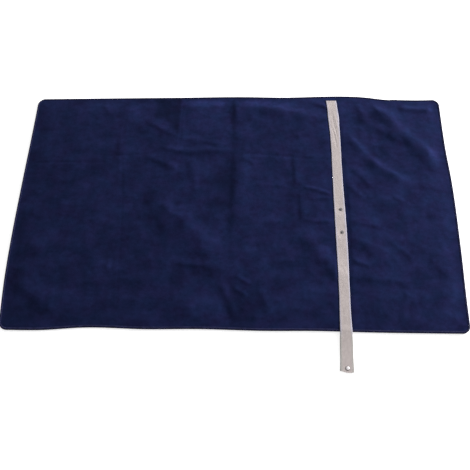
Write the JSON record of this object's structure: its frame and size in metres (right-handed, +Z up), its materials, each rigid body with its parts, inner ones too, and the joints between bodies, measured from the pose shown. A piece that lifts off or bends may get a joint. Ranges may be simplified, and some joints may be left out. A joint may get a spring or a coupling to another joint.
{
  "type": "heated blanket",
  "caption": "Flat padded heated blanket with bound edges, a centre fold, a flat power inlet and a webbing strap that folds back and snaps shut.",
  "frame": {"origin": "middle of the panel's underside, on the surface that the blanket lies on", "axes": "+X along the long side, towards the strap; +Y towards the edge with the inlet, where the strap is sewn on; +Z up"},
  "size_m": [1.5, 1.0275, 0.0131],
  "materials": {
    "navy_fleece": "short brushed pile, matte with a soft sheen",
    "binding_tape": "plain woven tape, matte",
    "felt": "needled felt, matte",
    "wadding": "bonded polyester wadding, matte",
    "foil": "metallised film, bright",
    "silicone_wire": "smooth silicone sheath",
    "lead_insulation": "smooth insulation",
    "crimp_brass": "tinned brass",
    "device_case": "moulded, matte",
    "inlet_plastic": "moulded, matte",
    "strap_webbing": "ribbed webbing, matte",
    "snap_metal": "nickel plate, satin",
    "spring_wire": "drawn steel wire"
  },
  "bodies": {
    "right_half": {"bottom_cover_right": "navy_fleece", "top_cover_right": "navy_fleece", "edge_binding_right": "binding_tape", "foil_reflector_right": "foil", "wadding_right": "wadding", "carrier_felt_right": "felt", "channel_felt_right": "felt", "heating_wire_right": "silicone_wire", "splice_sleeves_right": "crimp_brass", "thermostat_right": "device_case", "lead_wires_right": "lead_insulation", "temperature_sensor": "device_case", "inlet_housing": "inlet_plastic", "inlet_pins": "crimp_brass", "strap_sewn": "strap_webbing", "stud_upper": "snap_metal", "stud_lower": "snap_metal", "stud_upper_post": "snap_metal", "stud_lower_post": "snap_metal"},
    "left_half": {"bottom_cover_left": "navy_fleece", "top_cover_left": "navy_fleece", "edge_binding_left": "binding_tape", "foil_reflector_left": "foil", "wadding_left": "wadding", "carrier_felt_left": "felt", "channel_felt_left": "felt", "heating_wire_left": "silicone_wire", "splice_sleeves_left": "crimp_brass", "thermostat_left": "device_case", "lead_wires_left": "lead_insulation"},
    "strap_middle": {"strap_free": "strap_webbing"},
    "strap_end": {"strap_tip": "strap_webbing", "snap_cap": "snap_metal", "snap_socket": "snap_metal", "snap_spring": "spring_wire"}
  },
  "joints": [
    {"name": "blanket_fold", "type": "hinge", "parent": "right_half", "child": "left_half", "pos_m": [0, 0, 0.0185], "axis": [0, 1, 0], "range_deg": [0, 180]},
    {"name": "strap_fold_1", "type": "hinge", "parent": "right_half", "child": "strap_middle", "pos_m": [0.3585, -0.29, 0.0118], "axis": [-0.9999, 0.0162, 0], "range_deg": [0, 180]},
    {"name": "strap_fold_2", "type": "hinge", "parent": "strap_middle", "child": "strap_end", "pos_m": [0.3585, -0.52175, 0.0061], "axis": [-0.9999, 0.0162, 0], "range_deg": [0, 180]}
  ],
  "couplings": [
    {"joint": "strap_fold_2", "follows": "strap_fold_1", "ratio": 1}
  ]
}
